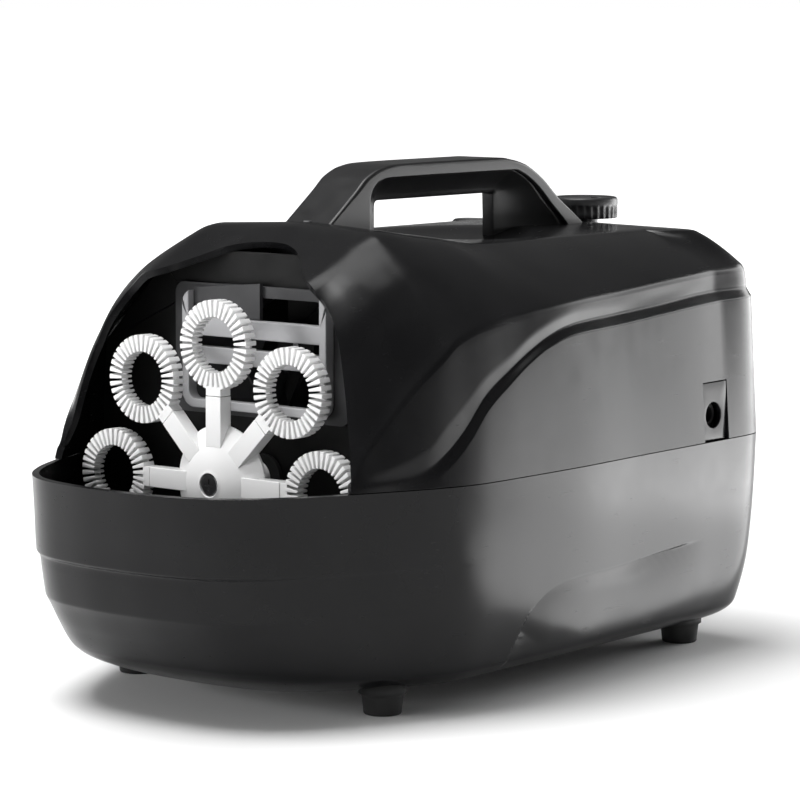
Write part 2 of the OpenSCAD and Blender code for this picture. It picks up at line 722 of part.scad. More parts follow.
module battery_contacts() color(steel) for (i = [0:2], j = [0, 1]) {
    x = -bay_w / 2 + 1 + (i + 0.5) * cell_w;
    y = bay_y[0] + 2 + j * cell_step;
    translate([x - 8, y, 20]) cube([16, strip_t, 16]);
    translate([x - 6, y + cell_l - strip_t, 22]) cube([12, strip_t, 12]);
    for (k = [0:2]) translate([x, y + strip_t + k * 1.6, 28]) rotate([-90, 0, 0])
        rotate_extrude() translate([7 - 1.5 * k, 0.8]) circle(0.8, $fn = 16);
}

module battery_door() color(black) difference() {
    union() {
        translate([-door_w / 2, bay_y[0] + 2, base_z]) cube([door_w, bay_y[1] - 4, door_t]);
        translate([-tab_size[0] / 2, tab_y, base_z]) cube(tab_size);
    }
    translate([0, tab_fix_y, 0]) cylinder(r = 1.5, h = 20);
    for (i = [0:5]) translate([-12, 84 + 3 * i, base_z - 1]) cube([24, 1.4, 1.6]);
}

module door_screw() color(steel) translate([0, tab_fix_y, base_z - 1.4]) screw(2.4, 5, 1.4, 4.4);

module circuit_board() color([0.05, 0.25, 0.12]) difference() {
    union() {
        translate([42, 58, board_z]) cube([29, 46, board_t]);
        // Chip, capacitor, wire header and coil
        translate([0, 0, board_z + board_t - eps]) {
            translate([46, 64, 0]) cube([8, 12, 3]);
            translate([50, 82, 0]) cylinder(r = 4, h = 10);
            translate([44, 92, 0]) cube([9, 7, 6]);
            translate([64, 66, 0]) cube([5, 8, 2]);
        }
    }
    for (p = board_pins) translate([p[0], p[1], board_z - 1]) cylinder(r = 1.4, h = 4);
}

module dc_socket() color(black) difference() {
    union() {
        translate([57, port_y - 4.5, board_z + board_t]) cube([12, 9, 10.5]);
        translate([69 - eps, port_y, port_z]) rotate([0, 90, 0]) cylinder(r = 4.1, h = 3.5);
    }
    translate([60, port_y, port_z]) rotate([0, 90, 0]) cylinder(r = 2.9, h = 20);
}

module port_plate() color(black) difference() {
    translate([plate_x0, port_y - plate_size[1] / 2, seam_z + 0.15]) cube(plate_size);
    translate([60, port_y, port_z]) rotate([0, 90, 0]) cylinder(r = port_r, h = 20);
}

spindle_r = 3;
switch_r = 6.3;
switch_z = [124, 139.4];

module rotary_switch() color(dark_grey) translate([0, knob_y, 0]) difference() {
    union() {
        translate([0, 0, switch_z[0]]) cylinder(r = switch_r, h = switch_z[1] - switch_z[0]);
        translate([0, 0, switch_z[1] - eps]) cylinder(r = neck_r, h = knob_z[0] - 0.5 - switch_z[1]);
        // Contact pins
        for (a = [0:60:300]) rotate(a) translate([4.2, -0.6, switch_z[0] - 5]) cube([1.2, 1.2, 6]);
    }
    translate([0, 0, 130]) cylinder(r = spindle_r + 0.06, h = 30);
}

module switch_spindle() color(white) translate([0, knob_y, 131])
    cylinder(r = spindle_r, h = 20.5);

knob_z = [146.9, 154.5];
knob_edge = 0.8;
flutes = 30;

module speed_knob() color(black) translate([0, knob_y, knob_z[0]]) difference() {
    knob_h = knob_z[1] - knob_z[0];
    union() {
        cylinder(r = knob_r, h = knob_h - knob_edge);
        translate([0, 0, knob_h - knob_edge - eps])
            cylinder(r1 = knob_r, r2 = knob_r - knob_edge, h = knob_edge);
    }
    for (i = [0:flutes - 1]) rotate(i * 360 / flutes)
        translate([knob_r + 0.3, 0, -1]) cylinder(r = 0.7, h = 5);
    translate([0, 0, -1]) cylinder(r = spindle_r + 0.02, h = 5.6);
    // Pointer mark
    translate([knob_r - 6, -0.6, knob_h - 0.5]) cube([5, 1.2, 2]);
}

module case_screws() color(steel) at_posts() translate([0, 0, head_z - 2.2])
    screw(2 * case_screw_r, 6, 2.2, 20);

// ---- feet ----------------------------------------------------------------------
foot_x = 54.1;
foot_y = [-58.9, 103.7];
foot_r = [6.1, 7];

module foot(x, y) color(dark_grey) translate([x, y, 0]) union() {
    cylinder(r1 = foot_r[0], r2 = foot_r[1], h = foot_h - 1);
    translate([0, 0, foot_h - 1 - eps]) cylinder(r = foot_r[1], h = base_z - foot_h + 1);
}

module foot_front_left() foot(-foot_x, foot_y[0]);
module foot_front_right() foot(foot_x, foot_y[0]);
module foot_rear_left() foot(-foot_x, foot_y[1]);
module foot_rear_right() foot(foot_x, foot_y[1]);

lower_shell();
upper_shell();
handle();
bulkhead();
shaft_seal();
fan_duct();
outlet_grille();
outlet_baffle();
fan_housing();
fan_motor();
fan_rotor();
fan_shaft();
gearbox_case();
gearbox_cover();
gear_pins();
wheel_motor();
motor_pinion();
reduction_gear_1();
reduction_gear_2();
output_gear();
wheel_shaft();
wheel_spider();
hub_screw();
wand_ring_1();
wand_ring_2();
wand_ring_3();
wand_ring_4();
wand_ring_5();
wand_ring_6();
wand_ring_7();
wand_ring_8();
battery_box();
battery_contacts();
battery_door();
door_screw();
circuit_board();
dc_socket();
port_plate();
rotary_switch();
switch_spindle();
speed_knob();
case_screws();
handle_screws();
gearbox_screws();
fan_screws();
foot_front_left();
foot_front_right();
foot_rear_left();
foot_rear_right();
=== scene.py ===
"""Bubble machine: skins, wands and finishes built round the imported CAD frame."""

import json
import math

import bmesh
import bpy
import numpy as np
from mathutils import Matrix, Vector


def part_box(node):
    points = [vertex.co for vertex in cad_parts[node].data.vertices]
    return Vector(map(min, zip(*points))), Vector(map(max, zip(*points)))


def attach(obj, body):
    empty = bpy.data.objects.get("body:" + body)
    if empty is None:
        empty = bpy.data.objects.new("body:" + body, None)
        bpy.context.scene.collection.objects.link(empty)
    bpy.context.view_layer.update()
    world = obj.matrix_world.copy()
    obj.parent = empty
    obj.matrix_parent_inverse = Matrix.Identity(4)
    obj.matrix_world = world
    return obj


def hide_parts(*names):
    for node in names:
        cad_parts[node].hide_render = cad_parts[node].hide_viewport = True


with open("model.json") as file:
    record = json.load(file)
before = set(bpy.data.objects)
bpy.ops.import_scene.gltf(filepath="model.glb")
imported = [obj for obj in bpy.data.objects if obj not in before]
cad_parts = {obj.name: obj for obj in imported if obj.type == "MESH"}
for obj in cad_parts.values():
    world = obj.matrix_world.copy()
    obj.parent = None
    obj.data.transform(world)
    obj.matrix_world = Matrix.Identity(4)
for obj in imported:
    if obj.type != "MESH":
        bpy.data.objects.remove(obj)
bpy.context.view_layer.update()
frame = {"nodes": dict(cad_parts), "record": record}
MM = 0.001  # metres in a millimetre: shapes below are in millimetres until piece() scales them
M = 1000  # millimetres in a metre, for places read from the frame

# ---- curves --------------------------------------------------------------------


def graded(table, at):
    """Smooth monotone line through rows of (place, value, ...), read at the places in at."""
    t = np.asarray(table, float)
    x, y = t[:, 0], t[:, 1:]
    h = np.diff(x)[:, None]
    d = np.diff(y, axis=0) / h
    m = np.zeros_like(y)
    m[0], m[-1] = d[0], d[-1]
    for i in range(1, len(x) - 1):
        w1, w2 = 2 * h[i] + h[i - 1], h[i] + 2 * h[i - 1]
        same = d[i - 1] * d[i] > 0
        m[i][same] = ((w1 + w2) / (w1 / np.where(same, d[i - 1], 1) + w2 / np.where(same, d[i], 1)))[same]
    at = np.clip(np.asarray(at, float), x[0], x[-1])
    k = np.clip(np.searchsorted(x, at, side="right") - 1, 0, len(x) - 2)
    s = ((at - x[k]) / h[k, 0])[:, None]
    out = (
        (1 + 2 * s) * (1 - s) ** 2 * y[k]
        + s * (1 - s) ** 2 * h[k] * m[k]
        + s * s * (3 - 2 * s) * y[k + 1]
        + s * s * (s - 1) * h[k] * m[k + 1]
    )
    return out[:, 0] if out.shape[1] == 1 else out


def flowing(points, count=None, places=None, start=None, end=None):
    """Curve with continuous curvature through points, read at count even steps of its length.

    Places from 0 to 1 of the length can be given instead of a count.
    """
    p = np.asarray(points, float)
    s = np.concatenate([[0], np.cumsum(np.linalg.norm(np.diff(p, axis=0), axis=1))])
    n = len(p)
    h = np.diff(s)
    a, b = np.zeros((n, n)), np.zeros_like(p)
    for i in range(1, n - 1):
        a[i, i - 1 : i + 2] = h[i], 2 * (h[i - 1] + h[i]), h[i - 1]
        b[i] = 3 * (h[i] * (p[i] - p[i - 1]) / h[i - 1] + h[i - 1] * (p[i + 1] - p[i]) / h[i])
    if start is None:
        a[0, :2] = 2, 1
        b[0] = 3 * (p[1] - p[0]) / h[0]
    else:
        a[0, 0] = 1
        b[0] = start
    if end is None:
        a[-1, -2:] = 1, 2
        b[-1] = 3 * (p[-1] - p[-2]) / h[-1]
    else:
        a[-1, -1] = 1
        b[-1] = end
    m = np.linalg.solve(a, b)

    def at(q):
        k = np.clip(np.searchsorted(s, q, side="right") - 1, 0, n - 2)
        u = ((q - s[k]) / h[k])[:, None]
        hk = h[k][:, None]
        return (
            (1 + 2 * u) * (1 - u) ** 2 * p[k]
            + u * (1 - u) ** 2 * hk * m[k]
            + u * u * (3 - 2 * u) * p[k + 1]
            + u * u * (u - 1) * hk * m[k + 1]
        )

    fine = at(np.linspace(0, s[-1], 40 * n))
    length = np.concatenate([[0], np.cumsum(np.linalg.norm(np.diff(fine, axis=0), axis=1))])
    if places is None:
        places = np.linspace(0, 1, count)
    q = np.interp(np.asarray(places) * length[-1], length, np.linspace(0, s[-1], 40 * n))
    return at(q)


def section(corners, radii, steps, bows):
    """Line through corners, each rounded by its radius.

    Every side has its own number of steps, and some sides have a bow.
    """
    corners = np.asarray(corners, float)
    out = []
    last = len(corners) - 2
    ends = []
    for k in range(last + 1):
        a, b = corners[k], corners[k + 1]
        length = max(np.linalg.norm(b - a), 1e-6)
        t0 = min(radii[k] / length, 0.45)
        t1 = 1 - min(radii[k + 1] / length, 0.45)
        t = np.linspace(t0, t1, steps[k] + 1)
        line = a + (b - a) * t[:, None]
        if bows.get(k) is not None:
            line = line + bows[k](t)
        ends.append(line)
    for k, line in enumerate(ends):
        out.extend(line)
        if k < last:
            e, c, s = line[-1], corners[k + 1], ends[k + 1][0]
            for u in (0.25, 0.5, 0.75):
                out.append((1 - u) ** 2 * e + 2 * u * (1 - u) * c + u * u * s)
    return np.array(out)


# ---- meshes --------------------------------------------------------------------


def piece(name, bm, material, body="casing", replaces=(), scale=MM):
    """Object from a bmesh in millimetres that rides on a CAD body."""
    if scale != 1:
        bmesh.ops.scale(bm, vec=(scale,) * 3, verts=bm.verts)
    mesh = bpy.data.meshes.new(name)
    bm.to_mesh(mesh)
    bm.free()
    mesh.materials.append(material)
    for p in mesh.polygons:
        p.use_smooth = True
    ob = bpy.data.objects.new(name, mesh)
    bpy.context.scene.collection.objects.link(ob)
    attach(ob, body)
    if replaces:
        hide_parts(*replaces)
    return ob


def bevelled(ob, width, segments=2, angle=35):
    m = ob.modifiers.new("edges", "BEVEL")
    m.width = width * MM
    m.segments = segments
    m.limit_method = "ANGLE"
    m.angle_limit = math.radians(angle)
    m.use_clamp_overlap = True
    w = ob.modifiers.new("normals", "WEIGHTED_NORMAL")
    w.weight = 80
    w.keep_sharp = False
    return ob


def add_grid(bm, rows, closed_rows=False, closed_columns=False):
    """Quads over a grid of points; returns its vertices."""
    grid = [[bm.verts.new(p) for p in row] for row in rows]
    n, m = len(grid), len(grid[0])
    for i in range(n if closed_rows else n - 1):
        for j in range(m if closed_columns else m - 1):
            q = [grid[i][j], grid[i][(j + 1) % m], grid[(i + 1) % n][(j + 1) % m], grid[(i + 1) % n][j]]
            if len({v.index if v.index >= 0 else id(v) for v in q}) == 4:
                bm.faces.new(q)
    return grid


def mirrored(bm):
    """Adds the mirror image in X and joins the two along the middle."""
    geom = bmesh.ops.duplicate(bm, geom=bm.verts[:] + bm.edges[:] + bm.faces[:])["geom"]
    verts = [g for g in geom if isinstance(g, bmesh.types.BMVert)]
    faces = [g for g in geom if isinstance(g, bmesh.types.BMFace)]
    bmesh.ops.scale(bm, vec=(-1, 1, 1), verts=verts)
    bmesh.ops.reverse_faces(bm, faces=faces)
    bmesh.ops.remove_doubles(bm, verts=bm.verts, dist=0.002)


def add_box(bm, low, high):
    x0, y0, z0 = low
    x1, y1, z1 = high
    v = [bm.verts.new(p) for p in (
        (x0, y0, z0), (x1, y0, z0), (x1, y1, z0), (x0, y1, z0),
        (x0, y0, z1), (x1, y0, z1), (x1, y1, z1), (x0, y1, z1))]
    for f in ((0, 3, 2, 1), (4, 5, 6, 7), (0, 1, 5, 4), (1, 2, 6, 5), (2, 3, 7, 6), (3, 0, 4, 7)):
        bm.faces.new([v[i] for i in f])
    return v


def add_lathe(bm, profile, centre, axis="z", segments=72, wobble=None):
    """Surface of revolution of (radius, height) rows; closed on its axis where the radius is 0."""
    rings = []
    for r, h in profile:
        if r < 1e-6:
            rings.append([bm.verts.new(place(0, 0, h, centre, axis))])
            continue
        ring = []
        for k in range(segments):
            a = 2 * math.pi * k / segments
            rr = r + (wobble(a, r, h) if wobble else 0)
            ring.append(bm.verts.new(place(rr * math.cos(a), rr * math.sin(a), h, centre, axis)))
        rings.append(ring)
    for lo, hi in zip(rings, rings[1:]):
        for k in range(segments):
            k2 = (k + 1) % segments
            q = [lo[k % len(lo)], lo[k2 % len(lo)], hi[k2 % len(hi)], hi[k % len(hi)]]
            q = list(dict.fromkeys(q))
            if len(q) > 2:
                bm.faces.new(q)
    return rings


def place(u, v, h, centre, axis):
    cx, cy, cz = centre
    if axis == "z":
        return (cx + u, cy + v, cz + h)
    if axis == "y":
        return (cx + u, cy + h, cz + v)
    return (cx + h, cy + u, cz + v)


def cut(ob, name, boxes):
    """Subtracts plain boxes, in millimetres, from an object."""
    bm = bmesh.new()
    for low, high in boxes:
        add_box(bm, low, high)
    bmesh.ops.scale(bm, vec=(MM,) * 3, verts=bm.verts)
    mesh = bpy.data.meshes.new(name)
    bm.to_mesh(mesh)
    bm.free()
    tool = bpy.data.objects.new(name, mesh)
    bpy.context.scene.collection.objects.link(tool)
    m = ob.modifiers.new(name, "BOOLEAN")
    m.operation = "DIFFERENCE"
    m.object = tool
    m.solver = "EXACT"
    return tool


def bake(ob, tools=()):
    """Applies the object's modifiers and removes the cutters."""
    dg = bpy.context.evaluated_depsgraph_get()
    mesh = bpy.data.meshes.new_from_object(ob.evaluated_get(dg))
    ob.modifiers.clear()
    ob.data = mesh
    for p in mesh.polygons:
        p.use_smooth = True
    for t in tools:
        bpy.data.objects.remove(t)


# ---- finishes ------------------------------------------------------------------


class Nodes:
    """Short way to wire a material's nodes."""

    def __init__(self, name):
        self.mat = bpy.data.materials.new(name)
        self.mat.use_nodes = True
        self.tree = self.mat.node_tree
        self.shader = self.tree.nodes["Principled BSDF"]
        self.coords = self.add("ShaderNodeTexCoord").outputs["Object"]

    def add(self, kind, **values):
        n = self.tree.nodes.new(kind)
        for key, value in values.items():
            if key in n.inputs:
                n.inputs[key].default_value = value
            else:
                setattr(n, key, value)
        return n

    def link(self, a, b):
        self.tree.links.new(a, b)

    def noise(self, size_mm, detail=2.0, rough=0.5, stretch=None, seed=0.0):
        """Noise whose grains are about size_mm across."""
        m = self.add("ShaderNodeMapping")
        s = 1000.0 / size_mm
        m.inputs["Scale"].default_value = [s * k for k in (stretch or (1, 1, 1))]
        m.inputs["Location"].default_value = (seed, seed * 0.7, -seed)
        self.link(self.coords, m.inputs["Vector"])
        n = self.add("ShaderNodeTexNoise", Scale=1.0, Detail=detail, Roughness=rough)
        self.link(m.outputs["Vector"], n.inputs["Vector"])
        return n.outputs["Fac"]

    def mapped(self, value, low, high, start=0.3, end=0.7):
        n = self.add("ShaderNodeMapRange")
        for key, v in (("From Min", start), ("From Max", end), ("To Min", low), ("To Max", high)):
            n.inputs[key].default_value = v
        self.link(value, n.inputs["Value"])
        return n.outputs["Result"]

    def blend(self, fac, a, b):
        n = self.add("ShaderNodeMix", data_type="RGBA")
        n.inputs[6].default_value = (*a, 1)
        n.inputs[7].default_value = (*b, 1)
        self.link(fac, n.inputs[0])
        return n.outputs[2]

    def math(self, kind, a, b):
        n = self.add("ShaderNodeMath", operation=kind)
        for i, v in enumerate((a, b)):
            if isinstance(v, (int, float)):
                n.inputs[i].default_value = v
            else:
                self.link(v, n.inputs[i])
        return n.outputs[0]

    def bump(self, height, depth_mm, before=None):
        n = self.add("ShaderNodeBump", Strength=1.0, Distance=depth_mm * MM)
        self.link(height, n.inputs["Height"])
        if before is not None:
            self.link(before, n.inputs["Normal"])
        return n.outputs["Normal"]


def plastic(name, dark, light, rough=(0.3, 0.4), grain=0.35, depth=0.006, specular=0.5, scuffs=0.0, peel=0.0):
    """Moulded plastic: slightly uneven colour and gloss, and the fine texture of the mould."""
    n = Nodes(name)
    n.link(n.blend(n.mapped(n.noise(24, 4), 0, 1), dark, light), n.shader.inputs["Base Color"])
    gloss = n.mapped(n.noise(9, 5, 0.6, seed=3), rough[0], rough[1])
    if scuffs:
        lines = n.noise(1.6, 3, 0.7, stretch=(1, 0.05, 1), seed=9)
        gloss = n.math("ADD", gloss, n.mapped(lines, 0, scuffs, 0.62, 0.75))
    n.link(gloss, n.shader.inputs["Roughness"])
    n.shader.inputs["Specular IOR Level"].default_value = specular
    normal = n.bump(n.noise(grain, 2), depth)
    if peel:
        normal = n.bump(n.noise(7, 1, seed=5), peel, normal)
    n.link(normal, n.shader.inputs["Normal"])
    return n.mat


def metal(name, dark, light, rough=(0.25, 0.4), stretch=(1, 1, 12)):
    n = Nodes(name)
    n.shader.inputs["Metallic"].default_value = 1.0
    n.link(n.blend(n.mapped(n.noise(6, 4), 0, 1), dark, light), n.shader.inputs["Base Color"])
    lines = n.noise(0.5, 3, stretch=stretch)
    n.link(n.mapped(lines, rough[0], rough[1]), n.shader.inputs["Roughness"])
    n.link(n.bump(lines, 0.004), n.shader.inputs["Normal"])
    return n.mat


shell_black = plastic("shell_black", (0.0045, 0.0045, 0.005), (0.007, 0.007, 0.0075), (0.2, 0.27),
                      depth=0.0022, specular=0.21, scuffs=0.06)
handle_black = plastic("handle_black", (0.006, 0.006, 0.0065), (0.010, 0.010, 0.0105), (0.3, 0.4),
                       depth=0.006, specular=0.32, scuffs=0.05)
inner_black = plastic("inner_black", (0.004, 0.004, 0.004), (0.008, 0.008, 0.008), (0.45, 0.6),
                      depth=0.01, specular=0.25)
duct_grey = plastic("duct_grey", (0.03, 0.03, 0.032), (0.05, 0.05, 0.052), (0.4, 0.55))
grille_grey = plastic("grille_grey", (0.36, 0.36, 0.37), (0.42, 0.42, 0.43), (0.35, 0.5))
wand_white = plastic("wand_white", (0.80, 0.80, 0.80), (0.86, 0.86, 0.86), (0.3, 0.42), depth=0.004)
knob_black = plastic("knob_black", (0.010, 0.010, 0.011), (0.016, 0.016, 0.017), (0.35, 0.5), depth=0.008)
foot_rubber = plastic("foot_rubber", (0.012, 0.012, 0.012), (0.022, 0.022, 0.022), (0.6, 0.8),
                      grain=0.8, depth=0.03)
seal_rubber = plastic("seal_rubber", (0.02, 0.02, 0.02), (0.03, 0.03, 0.03), (0.6, 0.75),
                      grain=0.8, depth=0.02)
board_green = plastic("board_green", (0.004, 0.05, 0.016), (0.008, 0.08, 0.026), (0.3, 0.45), grain=1.2)
steel = metal("steel", (0.5, 0.5, 0.52), (0.66, 0.66, 0.68))
motor_steel = metal("motor_steel", (0.42, 0.42, 0.44), (0.58, 0.58, 0.6), (0.3, 0.45))
contact_steel = metal("contact_steel", (0.6, 0.58, 0.52), (0.72, 0.7, 0.64))

SLOTS = {
    "shell_black": shell_black, "handle_black": handle_black, "inner_black": inner_black,
    "duct_grey": duct_grey, "grille_grey": grille_grey, "wand_white": wand_white, "knob_black": knob_black,
    "foot_rubber": foot_rubber, "seal_rubber": seal_rubber, "board_green": board_green, "steel": steel,
    "motor_steel": motor_steel, "contact_steel": contact_steel,
}

# ---- casing --------------------------------------------------------------------
SEAM = 74.2
GAP = 0.16  # half of the dark line between the shells
WALL = 2.3
# Half outline at the seam, from the middle of the nose to the middle of the rear
PLAN = [(0, -128.2), (12, -127.8), (22, -126.4), (31, -124.3), (38.5, -120.9), (45.8, -115.4),
        (52, -108.4), (58, -99.4), (64.4, -87), (71.6, -71.5), (78, -55.5), (80.6, -45), (81.36, -34),
        (81.41, -10), (80.9, 15), (79.4, 40), (77.4, 83), (76.5, 100), (75.9, 111), (74.9, 118.2),
        (72.3, 123.8), (67, 127.8), (57, 130.1), (42, 131), (24, 131.4), (0, 131.5)]
NOSE_Y, TAIL_Y, HALF_W = PLAN[0][1], PLAN[-1][1], max(x for x, _ in PLAN)
WAIST_Y = -34.0  # where the drawing in of the nose gives way to that of the rear
outline = flowing(PLAN, 1600, start=(1, 0), end=(-1, 0))
outline_s = np.concatenate([[0], np.cumsum(np.linalg.norm(np.diff(outline, axis=0), axis=1))])
outline_n = np.gradient(outline, outline_s, axis=0)
outline_n = np.stack([outline_n[:, 1], -outline_n[:, 0]], 1)
outline_n /= np.linalg.norm(outline_n, axis=1)[:, None]


def on_plan(s):
    """Place and outward normal at length s along the outline."""
    return (
        np.stack([np.interp(s, outline_s, outline[:, i]) for i in (0, 1)], 1),
        np.stack([np.interp(s, outline_s, outline_n[:, i]) for i in (0, 1)], 1),
    )


side = (outline[:, 1] > -100) & (outline[:, 1] < 108)


def s_at(y):
    """Length along the outline where the side wall has this Y."""
    return np.interp(y, outline[side, 1], outline_s[side])


# Upper shell. Each level line runs from the mouth's edge to y = BEND, straight
# back to y = TURN, and round the rear corner to the middle of the rear.
BEND, TURN = -42.0, 100.0
front_g = np.concatenate([[0, 0.012, 0.03, 0.06], np.linspace(0.1, 1, 27)])
side_y = np.linspace(BEND, TURN, 73)[1:]
rear_h = np.linspace(0, 1, 46)[1:]
S_TURN, S_END = float(s_at(TURN)), float(outline_s[-1])


def level_line(points, rear_offset, rear_z):
    """One level line of the upper shell.

    Points lead it up to TURN. From there it has an offset from the outline and a height.
    """
    p = np.asarray(points, float)
    table = p[:, [1, 0, 2]]
    y0 = p[0, 1]
    y = np.concatenate([y0 + front_g * (BEND - y0), side_y])
    xz = graded(table, y)
    body = np.stack([xz[:, 0], y, xz[:, 1]], 1)
    base, normal = on_plan(S_TURN + rear_h * (S_END - S_TURN))
    start, _ = on_plan(np.array([S_TURN]))
    off0 = start[0, 0] - body[-1, 0]
    off = graded([(0, off0), *rear_offset], rear_h)
    z = graded([(0, body[-1, 2]), *rear_z], rear_h)
    # Lines far inside the outline turn the corner evenly, so that they never fold over
    angle = math.pi / 2 * np.clip(rear_h / 0.6, 0, 1)
    even = np.stack([np.cos(angle), np.sin(angle)], 1)
    share = np.clip((off - 6) / 12, 0, 1)[:, None]
    normal = normal * (1 - share) + even * share
    normal /= np.linalg.norm(normal, axis=1)[:, None]
    rear = base - normal * off[:, None]
    rear[:, 1] -= (1 - rear_h) * (on_plan(np.array([S_TURN]))[0][0, 1] - TURN)
    return np.concatenate([body, np.column_stack([rear, z])])


def seam_points():
    y = np.linspace(-86.5, TURN, 60)
    xy, _ = on_plan(s_at(y))
    return np.column_stack([xy, np.full(len(y), SEAM + GAP)])


wide_rear = 40.0  # half width of the roof
seam_line = level_line(seam_points(), [(1, 0)], [(1, SEAM + GAP)])
ledge_low = level_line(
    [(64.5, -86.3, 75.6), (70.3, -74, 76.4), (75.6, -60.5, 77.8), (77.6, -54.5, 80.5), (79.3, -46, 88),
     (80, -38, 97), (80.1, -27, 104.3), (79.9, -17, 110), (79.5, -5.4, 114.7), (78.8, 8, 117.4),
     (77, 36, 118.6), (74.3, 85, 121.4), (73.2, 100, 122)],
    [(0.2, 2.4), (0.45, 2.4), (1, 2.4)], [(0.25, 122.3), (0.5, 121.6), (1, 121)])
ledge_top = level_line(
    [(64.3, -86, 77), (70, -74, 78), (74.9, -60.5, 80.4), (76, -54.5, 84), (77.1, -46, 91),
     (77.8, -37, 100.6), (77.7, -25, 107.6), (77.3, -12.4, 113.7), (77, -3.4, 117.2), (76.4, 6, 119.6),
     (75.7, 15, 120.7), (74, 40, 121.8), (72.8, 64.5, 123), (71, 90, 124.8), (70.4, 100, 125.1)],
    [(0.2, 4.6), (0.45, 2.6), (1, 2.55)], [(0.25, 125.2), (0.5, 123.6), (1, 123)])
strip_top = level_line(
    [(64, -85.6, 78.6), (69.9, -74, 81), (74.8, -60.5, 86.5), (76, -54.5, 92), (77, -46, 99),
     (77.7, -37, 106.5), (77.7, -24, 112.6), (77.4, -10.6, 119.3), (76.8, 3.6, 123.4), (75.9, 15, 124.6),
     (74, 40, 125), (72.4, 64.5, 125.8), (71, 90, 127.2), (70.2, 100, 127.4)],
    [(0.2, 4.7), (0.45, 2.8), (1, 2.7)], [(0.25, 127.4), (0.5, 126), (1, 125.4)])
long_edge = level_line(
    [(62.6, -84.2, 80), (64.6, -82.6, 83.4), (65.9, -80, 87), (67.8, -74, 94), (69.9, -68, 101),
     (71.9, -62, 107), (73.6, -57, 111.4), (74.5, -53, 114.5), (75.2, -47, 119), (76, -39, 122),
     (76.5, -28, 124), (76.4, -12, 126), (76, 4.6, 127.6), (73.7, 40, 129.3), (70.8, 90, 132),
     (69.9, 100, 132.4)],
    [(0.2, 5.4), (0.5, 3.6), (1, 3.4)], [(0.3, 132.4), (0.6, 131.2), (1, 130.6)])
brow_line = level_line(
    [(41.5, -72.8, 132.3), (43.4, -66, 136.8), (44.3, -60, 140), (44.3, -50, 144.2), (43.9, -42, 146.9),
     (43.4, -30, 148), (42.8, -14, 147.2), (42.4, -3, 145.6), (42.2, 8, 144.7), (42, 40, 144.6),
     (42, 100, 144.6)],
    [(0.15, 29.5), (0.4, 16), (0.7, 9.5), (1, 8.6)], [(0.5, 144), (1, 143.2)])
roof_line = level_line(
    [(36, -73, 137), (36, -57.5, 144.3), (36, -46, 149.7), (36.1, -42, 151.1), (36.4, -38, 151.5),
     (37.6, -27, 150.1), (38.6, -14, 148.4), (39.3, -3, 146.7), (39.8, 6, 145.6), (40, 20, 145.3),
     (wide_rear, 100, 145.3)],
    [(0.15, 31.5), (0.4, 18), (0.7, 11.5), (1, 10.4)], [(0.5, 144.9), (1, 144.2)])

mouth_edge = np.array(
    [(62.6, -84.2, 80), (60.9, -82.5, 85.7), (59.3, -81.4, 92.5), (57.6, -80.3, 99.5), (55.6, -79, 106.5),
     (53.2, -77.5, 113.3), (50.5, -76, 120.2), (47.6, -74.6, 125), (44.6, -73.6, 128.9),
     (41.5, -72.8, 132.3)])
lip = np.array(
    [(36, -73, 137), (32.2, -70.7, 138), (26.7, -66, 140.2), (20.5, -59.8, 143.1), (15.4, -56, 145.3),
     (11.9, -53.9, 146.2), (6, -51.6, 147), (0, -50.6, 147.2)])

columns = len(front_g) + len(side_y) + len(rear_h)
u_of = np.concatenate([front_g, 1 + (side_y - BEND) / 50, 1 + (TURN - BEND) / 50 + 2 * rear_h])
centre_y = np.concatenate([
    -50.6 + front_g * 13.6, -37 + (side_y - BEND) * (TURN + 37) / (TURN - BEND), TURN + rear_h * 14])
centre_z = graded([(-50.6, 147.2), (-46, 149.6), (-40, 152.3), (-37, 152.9), (-33, 153), (-26, 151.7),
                   (-12, 149.4), (0, 147.6), (8, 146.6), (20, 146.3), (114, 146.3)], centre_y)


def bow_to(curve, fade):
    """Bow that bends a straight side onto a curve between the same ends, times fade."""
    s = np.concatenate([[0], np.cumsum(np.linalg.norm(np.diff(curve, axis=0), axis=1))])
    s /= s[-1]

    def bow(t):
        on = np.stack([np.interp(t, s, curve[:, i]) for i in range(3)], 1)
        return (on - (curve[0] + (curve[-1] - curve[0]) * t[:, None])) * fade

    return bow


def crown(height, direction):
    d = np.asarray(direction, float)
    return lambda t: (4 * t * (1 - t) * height)[:, None] * d


def upper_rows():
    smooth_mouth = flowing(mouth_edge, 60)
    smooth_lip = flowing(lip, 60)
    rows = []
    for j in range(columns):
        u = u_of[j]
        fade = max(0.0, 1 - u / 1.35)
        fade = fade * fade * (3 - 2 * fade)
        lip_fade = max(0.0, 1 - u) ** 1.5
        corners = [seam_line[j], ledge_low[j], ledge_top[j], strip_top[j], long_edge[j], brow_line[j],
                   roof_line[j], (0, centre_y[j], centre_z[j])]
        step = min(1, max(0, (u - 0.35) / 0.4))
        cheek = bow_to(smooth_mouth, fade)
        over = crown(1.1 * (1 - fade), (0.4, 0, 0.9))
        radii = [0, 0.5 + 1.5 * (1 - step), 0.7 + 1.5 * (1 - step), 1.2, 1.6, 3.2, 3.5, 0]
        rows.append(section(
            corners, radii, [12, 4, 3, 6, 24, 3, 26],
            {4: lambda t, c=cheek, o=over: c(t) + o(t), 6: bow_to(smooth_lip, lip_fade)}))
    return np.array(rows)


